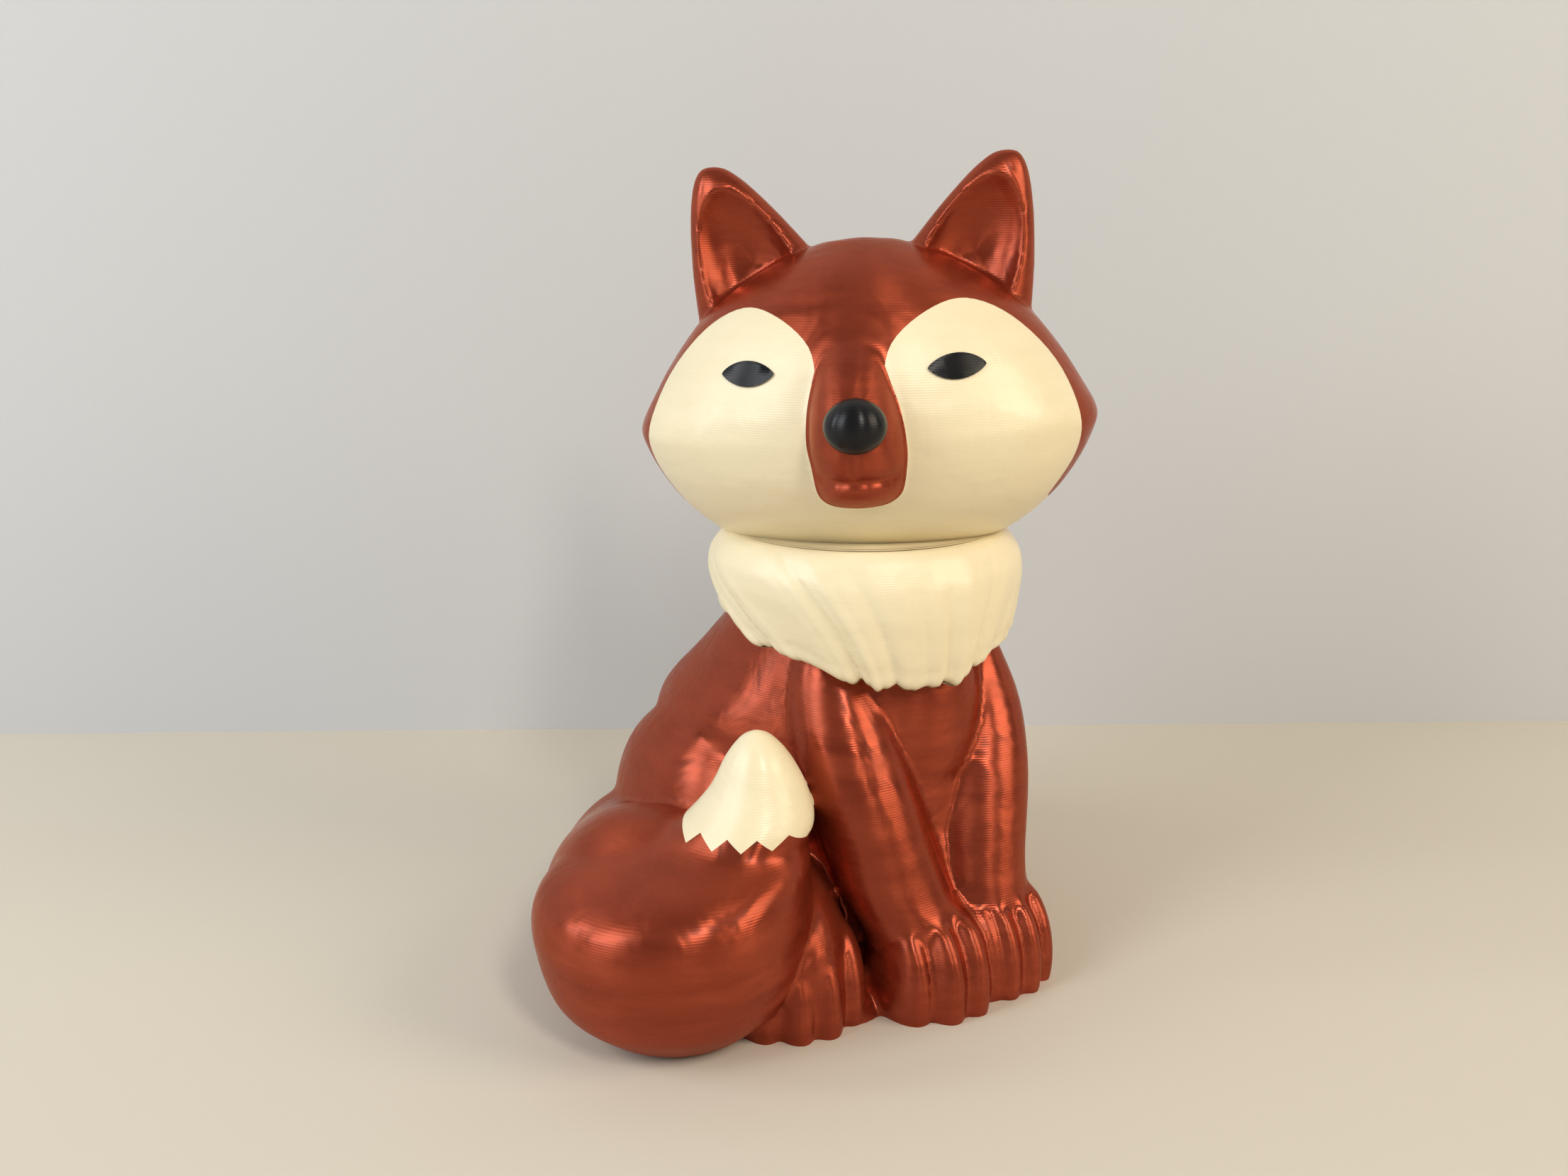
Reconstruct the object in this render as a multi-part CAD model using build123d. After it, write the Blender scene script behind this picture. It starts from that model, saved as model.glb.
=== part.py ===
from build123d import *
import math
import os

os.makedirs("parts", exist_ok=True)

# All lengths are in millimetres. The fox faces -Y, its right side is at -X, and the origin is on
# the flat underside, straight below the middle of the neck.

# Clearance between pieces that fit into each other
fit_gap = 0.15

# Torso: upright ovals from the underside to the neck seat
torso_height = 54.0
torso_width = 49.0
torso_depth = 63.4
torso_back = 13.7
# height, centre behind the neck, width and depth of each oval
torso_shares = [
    (0.00, 0.97, 0.94, 0.94),
    (0.15, 1.00, 1.00, 1.00),
    (0.37, 0.97, 0.98, 0.98),
    (0.50, 0.90, 0.95, 0.94),
    (0.63, 0.75, 0.91, 0.84),
    (0.75, 0.51, 0.81, 0.76),
    (0.89, 0.29, 0.69, 0.62),
    (1.00, 0.09, 0.57, 0.48),
]

# Neck spigot, which carries the ruff and the head
spigot_diameter = 16.0
spigot_length = 16.0

# Haunches
haunch_length = 42.0
haunch_height = 37.0
haunch_thickness = 22.0
haunch_side = 19.0
haunch_back = 13.0
haunch_lift = 15.0

# Front legs, from the underside to the shoulder
leg_height = 46.0
leg_foot_side = 6.6
leg_foot_front = 21.0
leg_top_side = 11.5
leg_top_front = 8.5
leg_width = 14.0
leg_depth = 15.5
# height, way up the slope, width and depth of each oval
leg_shares = [
    (0.00, 0.00, 0.98, 0.90),
    (0.20, 0.14, 0.98, 0.84),
    (0.45, 0.42, 1.00, 0.92),
    (0.72, 0.76, 1.00, 1.00),
    (0.92, 0.97, 0.82, 0.84),
    (1.00, 1.00, 0.40, 0.42),
]

# Paws, each a rounded pad with a row of toes
toe_count = 4
toe_height = 10.5
toe_length = 13.0
toe_width_share = 2.0
pad_width_share = 1.1
# ellipsoids stand this share of the height tall, with the rest below the underside
paw_tall_share = 1.5
front_paw_width = 13.6
front_paw_length = 18.0
front_paw_height = 10.5
front_paw_reach = 30.0
hind_paw_width = 15.6
hind_paw_length = 26.0
hind_paw_height = 16.0
right_paw_side = 23.0
right_paw_reach = 24.5
left_paw_side = 14.5
left_paw_reach = 9.0
hind_paw_turn = 10.0

# Tail: a tube that comes round from the back, and an upright drop that ends in the tip
tail_root_side = 4.0
tail_root_back = 31.0
tail_reach = 36.0
tail_thickness = 30.0
tail_lift = 14.0
# side reach, way from the root to the drop, lift and thickness of each circle
tail_shares = [
    (0.00, 0.00, 0.60, 0.50),
    (0.55, 0.10, 0.64, 0.60),
    (0.86, 0.46, 0.74, 0.74),
    (0.98, 0.78, 0.90, 0.90),
    (0.95, 1.00, 1.00, 0.90),
]
drop_front = 9.3
drop_height = 39.0
drop_width = 35.4
drop_lean_side = 11.5
drop_lean_front = 3.5
# height, lean and width of each circle
drop_shares = [
    (0.00, 0.05, 0.50),
    (0.05, 0.03, 0.66),
    (0.16, 0.00, 0.88),
    (0.36, 0.00, 1.00),
    (0.48, 0.10, 0.95),
    (0.57, 0.40, 0.78),
    (0.66, 0.82, 0.52),
    (0.80, 1.02, 0.36),
    (0.91, 1.00, 0.24),
    (0.98, 0.98, 0.12),
    (1.00, 0.98, 0.04),
]
seam_height = 27.0
seam_tooth = 1.8
seam_pitch = 3.8
seam_turn = -39.0
seam_lean_share = 0.9
tail_peg_diameter = 4.0
tail_peg_length = 5.0

# Skull: a turned egg with small flats at both ends, pressed flatter from front to back
head_width = 61.8
head_height = 41.9
head_depth = 46.0
head_rise = 3.3
head_bottom = torso_height + head_rise
head_turn = -39.0
head_tilt = -2.5
# radius and height of the outline's points, as shares of half the width and of the height
skull_shares = [
    (0.16, 0.002),
    (0.34, 0.012),
    (0.61, 0.068),
    (0.80, 0.175),
    (0.92, 0.290),
    (0.99, 0.400),
    (0.99, 0.450),
    (0.94, 0.520),
    (0.83, 0.650),
    (0.67, 0.790),
    (0.44, 0.905),
    (0.20, 0.982),
    (0.08, 0.996),
]

# Bridge and muzzle: upright ovals up the front of the face
muzzle_width = 12.2
muzzle_reach = 30.0
muzzle_depth = 18.0
muzzle_height = 26.0
muzzle_bottom = 10.6
# height, reach, width and depth of each oval
muzzle_shares = [
    (0.00, 0.66, 0.62, 0.50),
    (0.04, 0.78, 0.86, 0.70),
    (0.13, 0.92, 1.00, 0.90),
    (0.28, 0.98, 1.00, 1.00),
    (0.42, 0.97, 0.94, 1.00),
    (0.58, 0.85, 0.85, 0.90),
    (0.74, 0.68, 0.85, 0.76),
    (0.88, 0.50, 0.83, 0.58),
    (1.00, 0.34, 0.80, 0.40),
]

# Ears: each leans outwards and is hollow in front
ear_height = 25.0
ear_bottom = 27.0
ear_width = 26.0
ear_depth = 12.5
ear_side = 9.0
ear_back = 1.0
ear_lean = 10.4
ear_rim = 2.0
ear_hollow_width = 20.0
ear_hollow_depth = 15.0
ear_hollow_front = 9.5
ear_hollow_side = 12.0
ear_apex_front = 1.5
# height, width and depth of each oval
ear_shares = [
    (0.00, 1.00, 1.00),
    (0.20, 0.87, 0.92),
    (0.40, 0.74, 0.82),
    (0.57, 0.61, 0.70),
    (0.71, 0.49, 0.60),
    (0.83, 0.37, 0.50),
    (0.92, 0.26, 0.38),
    (0.98, 0.15, 0.22),
    (1.00, 0.06, 0.10),
]

# Face mask, let in flush with the skull
mask_thickness = 3.0
inner_seam_turn = 90.0
mask_back = 1.5
mask_width = 56.0
mask_bottom = 11.6
mask_height = 22.4
mask_steps = 24
# one side of the upper outline, from the muzzle to the cheek, as shares of half the width and of
# the height above the mask's bottom
mask_shares = [
    (0.180, 0.00),
    (0.180, 0.25),
    (0.172, 0.56),
    (0.200, 0.79),
    (0.330, 0.95),
    (0.500, 1.00),
    (0.700, 0.885),
    (0.895, 0.63),
    (1.000, 0.33),
    (0.985, 0.095),
    (0.860, -0.16),
]

# Eyes, with stems through the mask
eye_width = 7.0
eye_height = 3.5
eye_side = 13.0
eye_lift = 26.5
eye_proud = 0.4
stem_diameter = 2.4
stem_length = 4.0

# Nose, with a peg into the muzzle
nose_width = 7.6
nose_height = 6.6
nose_depth = 7.0
nose_reach = 32.0
nose_lift = 20.6
nose_peg_diameter = 3.0
nose_peg_length = 5.0

# Ruff: a collar with tufts along its lower edge
ruff_diameter = 43.0
ruff_height = 19.0
ruff_drop = 12.5
ruff_bottom = torso_height - ruff_drop
ruff_rise = 13.0
tuft_count = 18
tuft_depth = 1.5
# half the width of a notch between tufts, as a share of the tufts' pitch
notch_share = 0.8
# radius and height of the outline's points, as shares of half the diameter and of the height
ruff_shares = [
    (0.88, 0.00),
    (0.95, 0.15),
    (0.99, 0.40),
    (1.00, 0.60),
    (0.97, 0.80),
    (0.86, 1.00),
]

right = -1
left = 1


def ellipsoid(size_x, size_y, size_z):
    return scale(Sphere(0.5), by=(size_x, size_y, size_z))


def oval_loft(ovals):
    return loft([Pos(x, y, z) * Ellipse(wide / 2, deep / 2) for x, y, z, wide, deep in ovals])


def between(start, end, share):
    return start + (end - start) * share


def place_head(shape):
    middle = head_height / 2
    tilt = Pos(0, 0, head_bottom + middle) * Rot(0, head_tilt, 0) * Pos(0, 0, -middle)
    return Rot(0, 0, head_turn) * tilt * shape


def make_torso(grow=0.0):
    ovals = []
    for up, back, wide, deep in torso_shares:
        ovals.append((0, torso_back * back, torso_height * up,
                      torso_width * wide + 2 * grow, torso_depth * deep + 2 * grow))
    return oval_loft(ovals)


def make_spigot(grow=0.0):
    radius = spigot_diameter / 2 + grow
    height = spigot_length + grow
    return Pos(0, 0, torso_height) * Cylinder(
        radius, height, align=(Align.CENTER, Align.CENTER, Align.MIN))


def make_haunch(side):
    thigh = ellipsoid(haunch_thickness, haunch_length, haunch_height)
    return Pos(side * haunch_side, haunch_back, haunch_lift) * thigh


def make_front_leg(side, grow=0.0):
    ovals = []
    for up, slope, wide, deep in leg_shares:
        ovals.append((side * between(leg_foot_side, leg_top_side, slope),
                      -between(leg_foot_front, leg_top_front, slope),
                      leg_height * up + grow * up, leg_width * wide + 2 * grow,
                      leg_depth * deep + 2 * grow))
    return oval_loft(ovals)


# A paw's toes reach to y = 0, with the middle of the paw at x = 0
def make_paw(width, length, height):
    pitch = width / toe_count
    sunk = paw_tall_share / 2
    pad = ellipsoid(pad_width_share * width, length, paw_tall_share * height)
    paw = Pos(0, length / 2 + pitch / 4, height * (1 - sunk)) * pad
    for index in range(toe_count):
        step = index - (toe_count - 1) / 2
        bow = pitch * step * step / toe_count
        toe = ellipsoid(toe_width_share * pitch, toe_length, paw_tall_share * toe_height)
        paw = paw + Pos(pitch * step, toe_length / 2 + bow, toe_height * (1 - sunk)) * toe
    return paw


def make_front_paw(side):
    paw = make_paw(front_paw_width, front_paw_length, front_paw_height)
    return Pos(side * leg_foot_side, -front_paw_reach, 0) * paw


def make_hind_paw(side, out, reach):
    paw = make_paw(hind_paw_width, hind_paw_length, hind_paw_height)
    return Pos(side * out, -reach, 0) * Rot(0, 0, side * hind_paw_turn) * paw


def make_tail_drop():
    ovals = []
    for up, lean, wide in drop_shares:
        ovals.append((-tail_reach + drop_lean_side * lean, -drop_front - drop_lean_front * lean,
                      drop_height * up, drop_width * wide, drop_width * wide))
    return oval_loft(ovals)


def make_tail_tube(grow=0.0):
    points = []
    for reach, way, lift, thick in tail_shares:
        points.append(Vector(-between(tail_root_side, tail_reach, reach),
                             between(tail_root_back, -drop_front, way), tail_lift * lift))
    path = Spline(points)
    circles = []
    for index, (reach, way, lift, thick) in enumerate(tail_shares):
        along = path % (index / (len(points) - 1))
        across = along.cross(Vector(0, 0, 1))
        plane = Plane(origin=points[index], x_dir=across, z_dir=along)
        circles.append(plane * Circle(tail_thickness * thick / 2 + grow))
    return loft(circles)


def tail_tip_place():
    return Pos(-tail_reach + drop_lean_side * seam_lean_share,
               -drop_front - drop_lean_front * seam_lean_share, seam_height)


# The part of the tail above the zigzag seam
def seam_cutter():
    reach = drop_width
    teeth = 2 * math.ceil(reach / seam_pitch / 2)
    points = [(-reach, drop_height), (-reach, seam_tooth / 2)]
    for index in range(-teeth, teeth + 1):
        rise = seam_tooth / 2 if index % 2 else -seam_tooth / 2
        points.append((index * seam_pitch / 2, rise))
    points += [(reach, seam_tooth / 2), (reach, drop_height)]
    outline = make_face(Polyline(points, close=True))
    block = extrude(Plane.XZ * outline, amount=drop_width, both=True)
    return tail_tip_place() * Rot(0, 0, seam_turn) * block


def make_tail_peg(grow=0.0):
    peg = Cylinder(tail_peg_diameter / 2 + grow, 2 * (tail_peg_length + grow))
    return tail_tip_place() * peg


def make_body():
    body = make_torso() + make_spigot()
    for side in (right, left):
        body = body + make_haunch(side) + make_front_leg(side) + make_front_paw(side)
    body = body + make_hind_paw(right, right_paw_side, right_paw_reach)
    body = body + make_hind_paw(left, left_paw_side, left_paw_reach)
    tail = make_tail_tube() + (make_tail_drop() - seam_cutter()) + make_tail_peg()
    body = body + tail
    reach = tail_reach + torso_depth
    return body - Pos(0, 0, -reach / 2) * Box(2 * reach, 2 * reach, reach)


def make_tail_tip():
    return (make_tail_drop() & seam_cutter()) - make_tail_peg(fit_gap) - make_tail_tube(fit_gap)


# The skull's form, larger or smaller all round by the same amount, with its seam turned out of
# the way of other forms
def skull_form(grow=0.0, seam_turn=0.0):
    points = [(head_width / 2 * out, head_height * up) for out, up in skull_shares]
    low = (0, points[0][1])
    top = (0, points[-1][1])
    outline = Spline(points) + Line(points[-1], top) + Line(top, low) + Line(low, points[0])
    egg = Pos(0, 0, -head_height / 2) * revolve(Plane.XZ * make_face(outline), Axis.Z)
    egg = Rot(0, 0, seam_turn) * egg
    factors = (1 + 2 * grow / head_width, (head_depth + 2 * grow) / head_width,
               1 + 2 * grow / head_height)
    return Pos(0, 0, head_height / 2) * scale(egg, by=factors)


def make_muzzle(grow=0.0):
    ovals = []
    for up, reach, wide, deep in muzzle_shares:
        depth = muzzle_depth * deep
        ovals.append((0, -muzzle_reach * reach + depth / 2, muzzle_bottom + muzzle_height * up,
                      muzzle_width * wide + 2 * grow, depth + 2 * grow))
    return oval_loft(ovals)


def make_ear(side):
    ovals = []
    for up, wide, deep in ear_shares:
        ovals.append((ear_side + ear_lean * up, ear_back, ear_bottom + ear_height * up,
                      ear_width * wide, ear_depth * deep))
    tip_side = ear_side + ear_lean
    tip_up = ear_bottom + ear_height - ear_rim
    lean = math.degrees(math.atan2(tip_side - ear_hollow_side, ear_height - ear_rim))
    cone = Cone(ear_hollow_width / 2, 0, ear_height, align=(Align.CENTER, Align.CENTER, Align.MAX))
    cone = scale(cone, by=(1, ear_hollow_depth / ear_hollow_width, 1))
    pitch = math.degrees(math.atan2(ear_hollow_front, ear_height - ear_rim))
    hollow = Pos(tip_side, ear_back - ear_apex_front, tip_up) * Rot(-pitch, lean, 0) * cone
    ear = oval_loft(ovals) - hollow
    return ear if side == left else mirror(ear, Plane.YZ)


# Everything in front of the mask's back edge and inside its outline
def mask_prism(grow=0.0):
    lobe = Spline([(mask_width / 2 * out, mask_bottom + mask_height * up) for out, up in mask_shares])
    side = []
    for index in range(mask_steps + 1):
        along = lobe % (index / mask_steps)
        side.append(lobe @ (index / mask_steps) + Vector(-along.Y, along.X) * grow)
    low = -head_height / 2
    inner = (0, mask_bottom + grow)
    outer = (side[-1].X, low)
    edge = Spline(side) + Line(side[-1], outer) + Line(outer, (0, low))
    edge = edge + Line((0, low), inner) + Line(inner, side[0])
    half = make_face(edge)
    outline = half + mirror(half, Plane.YZ)
    return Pos(0, -mask_back + grow, 0) * extrude(Plane.XZ * outline, amount=head_depth)


def make_head():
    pocket = mask_prism(fit_gap)
    floor = skull_form(-mask_thickness - fit_gap, inner_seam_turn) & pocket
    head = skull_form() + make_ear(right) + make_ear(left) - pocket
    head = head + make_muzzle() + floor
    for side in (right, left):
        head = head - make_stem(side, fit_gap)
    head = place_head(head - make_nose(fit_gap) - make_nose_peg(fit_gap))
    return head - make_spigot(fit_gap)


def make_mask():
    mask = skull_form() & (mask_prism() - make_muzzle(fit_gap))
    mask = mask - skull_form(-mask_thickness, inner_seam_turn)
    for side in (right, left):
        mask = mask - eye_place(side) * eye_prism(fit_gap)
    return place_head(mask) - make_spigot(fit_gap)


# A pointed oval, seen from the front
def eye_prism(grow=0.0):
    half = eye_width / 2 + 2 * grow
    rise = eye_height / 2 + grow
    upper = ThreePointArc((-half, 0), (0, rise), (half, 0))
    lower = ThreePointArc((half, 0), (0, -rise), (-half, 0))
    return extrude(Plane.XZ * make_face(upper + lower), amount=head_depth)


def eye_place(side):
    return Pos(side * eye_side, 0, eye_lift)


def make_stem(side, grow=0.0):
    depth = skull_front(eye_side, eye_lift) - mask_thickness - stem_length - grow
    stem = Cylinder(stem_diameter / 2 + grow, head_depth, align=(Align.CENTER, Align.CENTER, Align.MIN))
    return eye_place(side) * Pos(0, -depth, 0) * Rot(90, 0, 0) * stem


# How far the skull's surface stands in front of the neck at a place on the face
def skull_front(side, up):
    line = Pos(side, 0, up) * Rot(90, 0, 0) * Cylinder(
        fit_gap, head_depth, align=(Align.CENTER, Align.CENTER, Align.MIN))
    return -(line & skull_form()).bounding_box().min.Y


def make_eye(side):
    form = skull_form(eye_proud)
    plug = (form - skull_form(-mask_thickness)) & (eye_place(side) * eye_prism())
    return place_head(plug + (make_stem(side) & form))


def make_nose(grow=0.0):
    dome = ellipsoid(nose_width + 2 * grow, nose_depth + 2 * grow, nose_height + 2 * grow)
    return Pos(0, -nose_reach + nose_depth / 2, nose_lift) * dome


def make_nose_peg(grow=0.0):
    peg = Cylinder(nose_peg_diameter / 2 + grow, nose_peg_length + nose_depth / 2 + grow,
                   align=(Align.CENTER, Align.CENTER, Align.MIN))
    return Pos(0, -nose_reach + nose_depth / 2, nose_lift) * Rot(-90, 0, 0) * peg


# Tufts hang below a slope that rises from the chest to the nape
def ruff_edge():
    slope = math.degrees(math.atan(ruff_rise / ruff_diameter))
    return Pos(0, 0, ruff_bottom + ruff_rise / 2) * Rot(slope, 0, 0)


def make_notch(angle):
    half = notch_share * math.pi * ruff_diameter / tuft_count
    outline = make_face(Polyline((-half, -tuft_depth), (0, tuft_depth), (half, -tuft_depth), close=True))
    notch = extrude(Plane.XZ * outline, amount=ruff_diameter)
    return ruff_edge() * Rot(0, 0, angle) * notch


def make_ruff():
    points = []
    for out, up in ruff_shares:
        points.append((ruff_diameter / 2 * out, ruff_height * up))
    top = (0, ruff_height)
    outline = Spline(points) + Line(points[-1], top) + Line(top, (0, 0)) + Line((0, 0), points[0])
    ruff = Pos(0, 0, ruff_bottom) * revolve(Plane.XZ * make_face(outline), Axis.Z)
    reach = 2 * ruff_diameter
    ruff = ruff - ruff_edge() * Pos(0, 0, -reach / 2) * Box(reach, reach, reach)
    for index in range(tuft_count):
        ruff = ruff - make_notch(360 * index / tuft_count)
    ruff = ruff - make_torso(fit_gap) - make_spigot(fit_gap)
    for side in (right, left):
        ruff = ruff - make_front_leg(side, fit_gap)
    return ruff - place_head(skull_form(fit_gap))


def make_nose_piece():
    return place_head(make_nose() + make_nose_peg())


pieces = {
    "body": make_body(),
    "tail_tip": make_tail_tip(),
    "ruff": make_ruff(),
    "head": make_head(),
    "face_mask": make_mask(),
    "eye_right": make_eye(right),
    "eye_left": make_eye(left),
    "nose": make_nose_piece(),
}
for name, piece in pieces.items():
    print(name, round(piece.volume), len(piece.solids()), len(piece.faces()), piece.is_valid)
    export_step(piece, "parts/" + name + ".step")
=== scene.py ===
import math

import bpy
import numpy as np
from mathutils import Matrix, Vector


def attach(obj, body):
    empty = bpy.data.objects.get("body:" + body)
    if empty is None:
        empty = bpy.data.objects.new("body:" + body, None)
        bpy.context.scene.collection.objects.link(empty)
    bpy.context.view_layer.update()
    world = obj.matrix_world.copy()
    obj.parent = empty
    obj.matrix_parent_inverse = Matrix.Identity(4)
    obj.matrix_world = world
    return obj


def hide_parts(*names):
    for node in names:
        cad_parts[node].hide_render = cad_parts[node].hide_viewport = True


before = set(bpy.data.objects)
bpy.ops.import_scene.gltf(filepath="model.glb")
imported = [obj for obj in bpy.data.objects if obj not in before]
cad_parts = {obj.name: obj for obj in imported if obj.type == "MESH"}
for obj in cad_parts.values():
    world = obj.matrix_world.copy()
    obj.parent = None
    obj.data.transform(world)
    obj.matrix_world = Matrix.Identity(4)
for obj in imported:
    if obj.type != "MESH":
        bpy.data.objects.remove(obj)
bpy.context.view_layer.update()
mm = 0.001
print("fox: frame loaded")


# general helpers

def clearSelection():
    active = bpy.context.view_layer.objects.active
    if active is not None and active.mode != "OBJECT":
        bpy.ops.object.mode_set(mode="OBJECT")
    bpy.ops.object.select_all(action="DESELECT")


def pick(piece):
    clearSelection()
    piece.select_set(True)
    bpy.context.view_layer.objects.active = piece


def joinForms(forms, name):
    clearSelection()
    for form in forms:
        form.select_set(True)
    bpy.context.view_layer.objects.active = forms[0]
    bpy.ops.object.join()
    piece = bpy.context.view_layer.objects.active
    piece.name = name
    piece.data.name = name
    return piece


def settle(piece, place=None):
    # the place goes into the mesh, and the object stays at the origin
    if place is not None:
        piece.matrix_world = place @ piece.matrix_world
        bpy.context.view_layer.update()
    pick(piece)
    bpy.ops.object.transform_apply(location=True, rotation=True, scale=True)
    return piece


def useModifier(piece, kind, **values):
    pick(piece)
    modifier = piece.modifiers.new(kind.title(), kind)
    for key, value in values.items():
        setattr(modifier, key, value)
    bpy.ops.object.modifier_apply(modifier=modifier.name)
    return piece


def voxelForm(piece, voxel):
    return useModifier(piece, "REMESH", mode="VOXEL", voxel_size=voxel, use_smooth_shade=True)


def soften(piece, factor, times, group=""):
    return useModifier(piece, "SMOOTH", factor=factor, iterations=times, vertex_group=group)


def combine(piece, other, operation):
    return useModifier(piece, "BOOLEAN", object=other, operation=operation, solver="EXACT")


def copyOf(piece, name):
    twin = piece.copy()
    twin.data = piece.data.copy()
    twin.name = name
    bpy.context.scene.collection.objects.link(twin)
    return twin


def scrap(piece):
    bpy.data.objects.remove(piece)


def turnOutwards(piece):
    pick(piece)
    bpy.ops.object.mode_set(mode="EDIT")
    bpy.ops.mesh.select_all(action="SELECT")
    bpy.ops.mesh.normals_make_consistent(inside=False)
    bpy.ops.object.mode_set(mode="OBJECT")


# distances in metres
cleaning = {"merge": 2e-6, "smallest": 5e-6}


# only the largest part stays, without faces of no size
def cleanMesh(piece):
    mesh = piece.data
    owner = list(range(len(mesh.vertices)))

    def rootOf(index):
        while owner[index] != index:
            owner[index] = owner[owner[index]]
            index = owner[index]
        return index

    for edge in mesh.edges:
        owner[rootOf(edge.vertices[0])] = rootOf(edge.vertices[1])
    roots = [rootOf(index) for index in range(len(owner))]
    counts = {}
    for root in roots:
        counts[root] = counts.get(root, 0) + 1
    main = max(counts, key=counts.get)
    pick(piece)
    bpy.ops.object.mode_set(mode="EDIT")
    bpy.ops.mesh.select_mode(type="VERT")
    bpy.ops.mesh.select_all(action="DESELECT")
    bpy.ops.object.mode_set(mode="OBJECT")
    for vertex in mesh.vertices:
        vertex.select = roots[vertex.index] != main
    bpy.ops.object.mode_set(mode="EDIT")
    bpy.ops.mesh.delete(type="VERT")
    bpy.ops.mesh.select_all(action="SELECT")
    bpy.ops.mesh.remove_doubles(threshold=cleaning["merge"])
    bpy.ops.mesh.quads_convert_to_tris(quad_method="BEAUTY", ngon_method="BEAUTY")
    bpy.ops.mesh.dissolve_degenerate(threshold=cleaning["smallest"])
    bpy.ops.mesh.delete_loose(use_faces=True)
    bpy.ops.object.mode_set(mode="OBJECT")


# the rows of a table with more rows between them, on a smooth curve through all of them
def smoothRows(rows, steps):
    table = np.array(rows, float)
    table = np.vstack([2 * table[0] - table[1], table, 2 * table[-1] - table[-2]])
    out = []
    for index in range(1, len(table) - 2):
        a, b, c, d = table[index - 1:index + 3]
        for step in range(steps):
            t = step / steps
            out.append(0.5 * (2 * b + (c - a) * t + (2 * a - 5 * b + 4 * c - d) * t * t
                              + (3 * b - a - 3 * c + d) * t ** 3))
    out.append(table[-2])
    return out


# a closed form through rings, each one (centre, turn matrix, half width, half depth) in metres
def ringForm(name, rings, around=64):
    hoops = []
    clearSelection()
    for centre, turn, wide, deep in rings:
        bpy.ops.mesh.primitive_circle_add(vertices=around, radius=1, fill_type="NOTHING")
        hoop = bpy.context.object
        hoop.matrix_world = Matrix.Translation(centre) @ turn @ Matrix.Diagonal((wide, deep, 1, 1))
        hoops.append(hoop)
    piece = joinForms(hoops, name)
    settle(piece)
    bpy.ops.object.mode_set(mode="EDIT")
    bpy.ops.mesh.select_all(action="SELECT")
    bpy.ops.mesh.bridge_edge_loops()
    bpy.ops.mesh.select_all(action="DESELECT")
    bpy.ops.mesh.select_non_manifold()
    bpy.ops.mesh.edge_face_add()
    bpy.ops.object.mode_set(mode="OBJECT")
    turnOutwards(piece)
    return piece


# level ovals: rows of (x, y, z, width, depth) in millimetres
def ovalForm(name, rows, steps=5, around=64):
    least = 0.05  # no ring shrinks to a point
    rings = []
    for x, y, z, wide, deep in smoothRows(rows, steps):
        rings.append((Vector((x, y, z)) * mm, Matrix.Identity(4), max(wide, least) / 2 * mm,
                      max(deep, least) / 2 * mm))
    return ringForm(name, rings, around)


ballFineness = {"segments": 48, "ring_count": 32}


# a stretched ball, its centre and size in millimetres
def ballForm(name, centre, size, turn=None):
    clearSelection()
    bpy.ops.mesh.primitive_uv_sphere_add(radius=0.5, **ballFineness)
    ball = bpy.context.object
    ball.name = name
    ball.matrix_world = (Matrix.Translation(Vector(centre) * mm) @ (turn or Matrix.Identity(4))
                         @ Matrix.Diagonal((size[0] * mm, size[1] * mm, size[2] * mm, 1)))
    return settle(ball)


# a flat outline in the XZ plane, pushed from y = near to y = far, in millimetres
def prismForm(name, points, near, far):
    mesh = bpy.data.meshes.new(name)
    corners = [(x * mm, near * mm, z * mm) for x, z in points]
    mesh.from_pydata(corners, [], [list(range(len(points)))])
    piece = bpy.data.objects.new(name, mesh)
    bpy.context.scene.collection.objects.link(piece)
    pick(piece)
    bpy.ops.object.mode_set(mode="EDIT")
    bpy.ops.mesh.select_all(action="SELECT")
    bpy.ops.mesh.extrude_region_move(TRANSFORM_OT_translate={"value": (0, (far - near) * mm, 0)})
    bpy.ops.object.mode_set(mode="OBJECT")
    turnOutwards(piece)
    return piece


# the body: torso, haunches, legs, paws and the wrapped tail

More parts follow.
